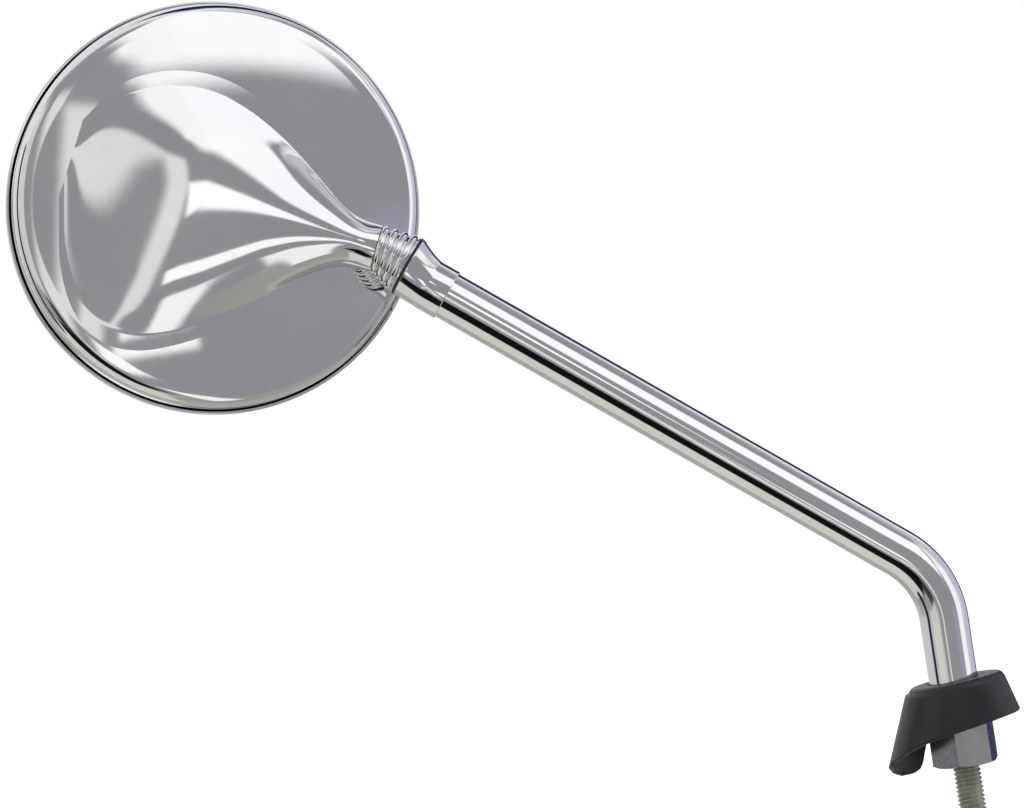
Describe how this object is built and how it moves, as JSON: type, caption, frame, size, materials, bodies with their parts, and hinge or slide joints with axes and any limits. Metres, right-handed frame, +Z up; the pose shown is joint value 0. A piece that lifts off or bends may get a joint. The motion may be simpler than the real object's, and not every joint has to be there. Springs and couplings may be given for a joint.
{
  "type": "motorcycle mirror",
  "caption": "Round chrome motorcycle mirror on a bent stem, with a ribbed ball joint, a convex glass, a rubber boot and a threaded mounting stud.",
  "frame": {"origin": "on the stud's axis, at the lower face of the lock nut, where the stem meets the handlebar clamp", "axes": "+Z up along the stud; the stem leans towards -X; the back of the head faces -Y and the glass +Y"},
  "size_m": [0.2669, 0.0425, 0.272],
  "materials": {
    "shell": "polished chrome plate, light dust and fine scratches",
    "bezel": "polished chrome rim",
    "collar": "polished chrome, dark in the grooves",
    "tube": "polished chrome tube with fine pits",
    "mirror": "silvered convex glass",
    "seal": "matt black rubber",
    "board": "brown hard fibre board",
    "foam": "dark grey closed-cell foam",
    "nylon": "natural nylon",
    "steel": "plain turned steel",
    "stud": "dull zinc-plated rolled thread",
    "nut": "plated nut, lightly worn at the corners",
    "boot": "black moulded rubber with a slight sheen"
  },
  "bodies": {
    "head": {"mirror_shell": "shell", "rim_bezel": "bezel", "mirror_glass": "mirror", "rim_seal": "seal", "backing_board": "board", "foam_pad": "foam", "neck_collar": "collar", "pressure_cup": "steel", "joint_spring": "steel", "spring_stop": "steel"},
    "front_liner": {"front_liner": "nylon"},
    "rear_liner": {"rear_liner": "nylon"},
    "stem": {"ball_stud": "steel", "wiper_ring": "seal", "stem_ferrule": "collar", "stem_tube": "tube", "stem_foot": "steel", "mounting_stud": "stud"},
    "lock_nut": {"lock_nut": "nut"},
    "nut_washer": {"spring_washer": "steel"},
    "boot": {"rubber_boot": "boot"}
  },
  "joints": [
    {"name": "head_tilt", "type": "hinge", "parent": "stem", "child": "front_liner", "pos_m": [-0.1398, 0, 0.16714], "axis": [0, 1, 0], "range_deg": [-10, 10]},
    {"name": "head_lean", "type": "hinge", "parent": "front_liner", "child": "rear_liner", "pos_m": [-0.1398, 0, 0.16714], "axis": [0.6198, 0, 0.7848], "range_deg": [-10, 10]},
    {"name": "head_twist", "type": "hinge", "parent": "rear_liner", "child": "head", "pos_m": [-0.1398, 0, 0.16714], "axis": [-0.7848, 0, 0.6198], "range_deg": [-90, 90]},
    {"name": "nut_travel", "type": "slide", "parent": "stem", "child": "nut_washer", "axis": [0, 0, -1], "range_m": [0, 0.008]},
    {"name": "nut_turn", "type": "hinge", "parent": "nut_washer", "child": "lock_nut", "pos_m": [0, 0, 0], "axis": [0, 0, -1], "range_deg": [0, 2310]},
    {"name": "boot_lift", "type": "slide", "parent": "stem", "child": "boot", "axis": [0, 0, 1], "range_m": [0, 0.016]}
  ],
  "couplings": [
    {"joint": "nut_turn", "follows": "nut_travel", "rad_per_m": 5026.5}
  ]
}
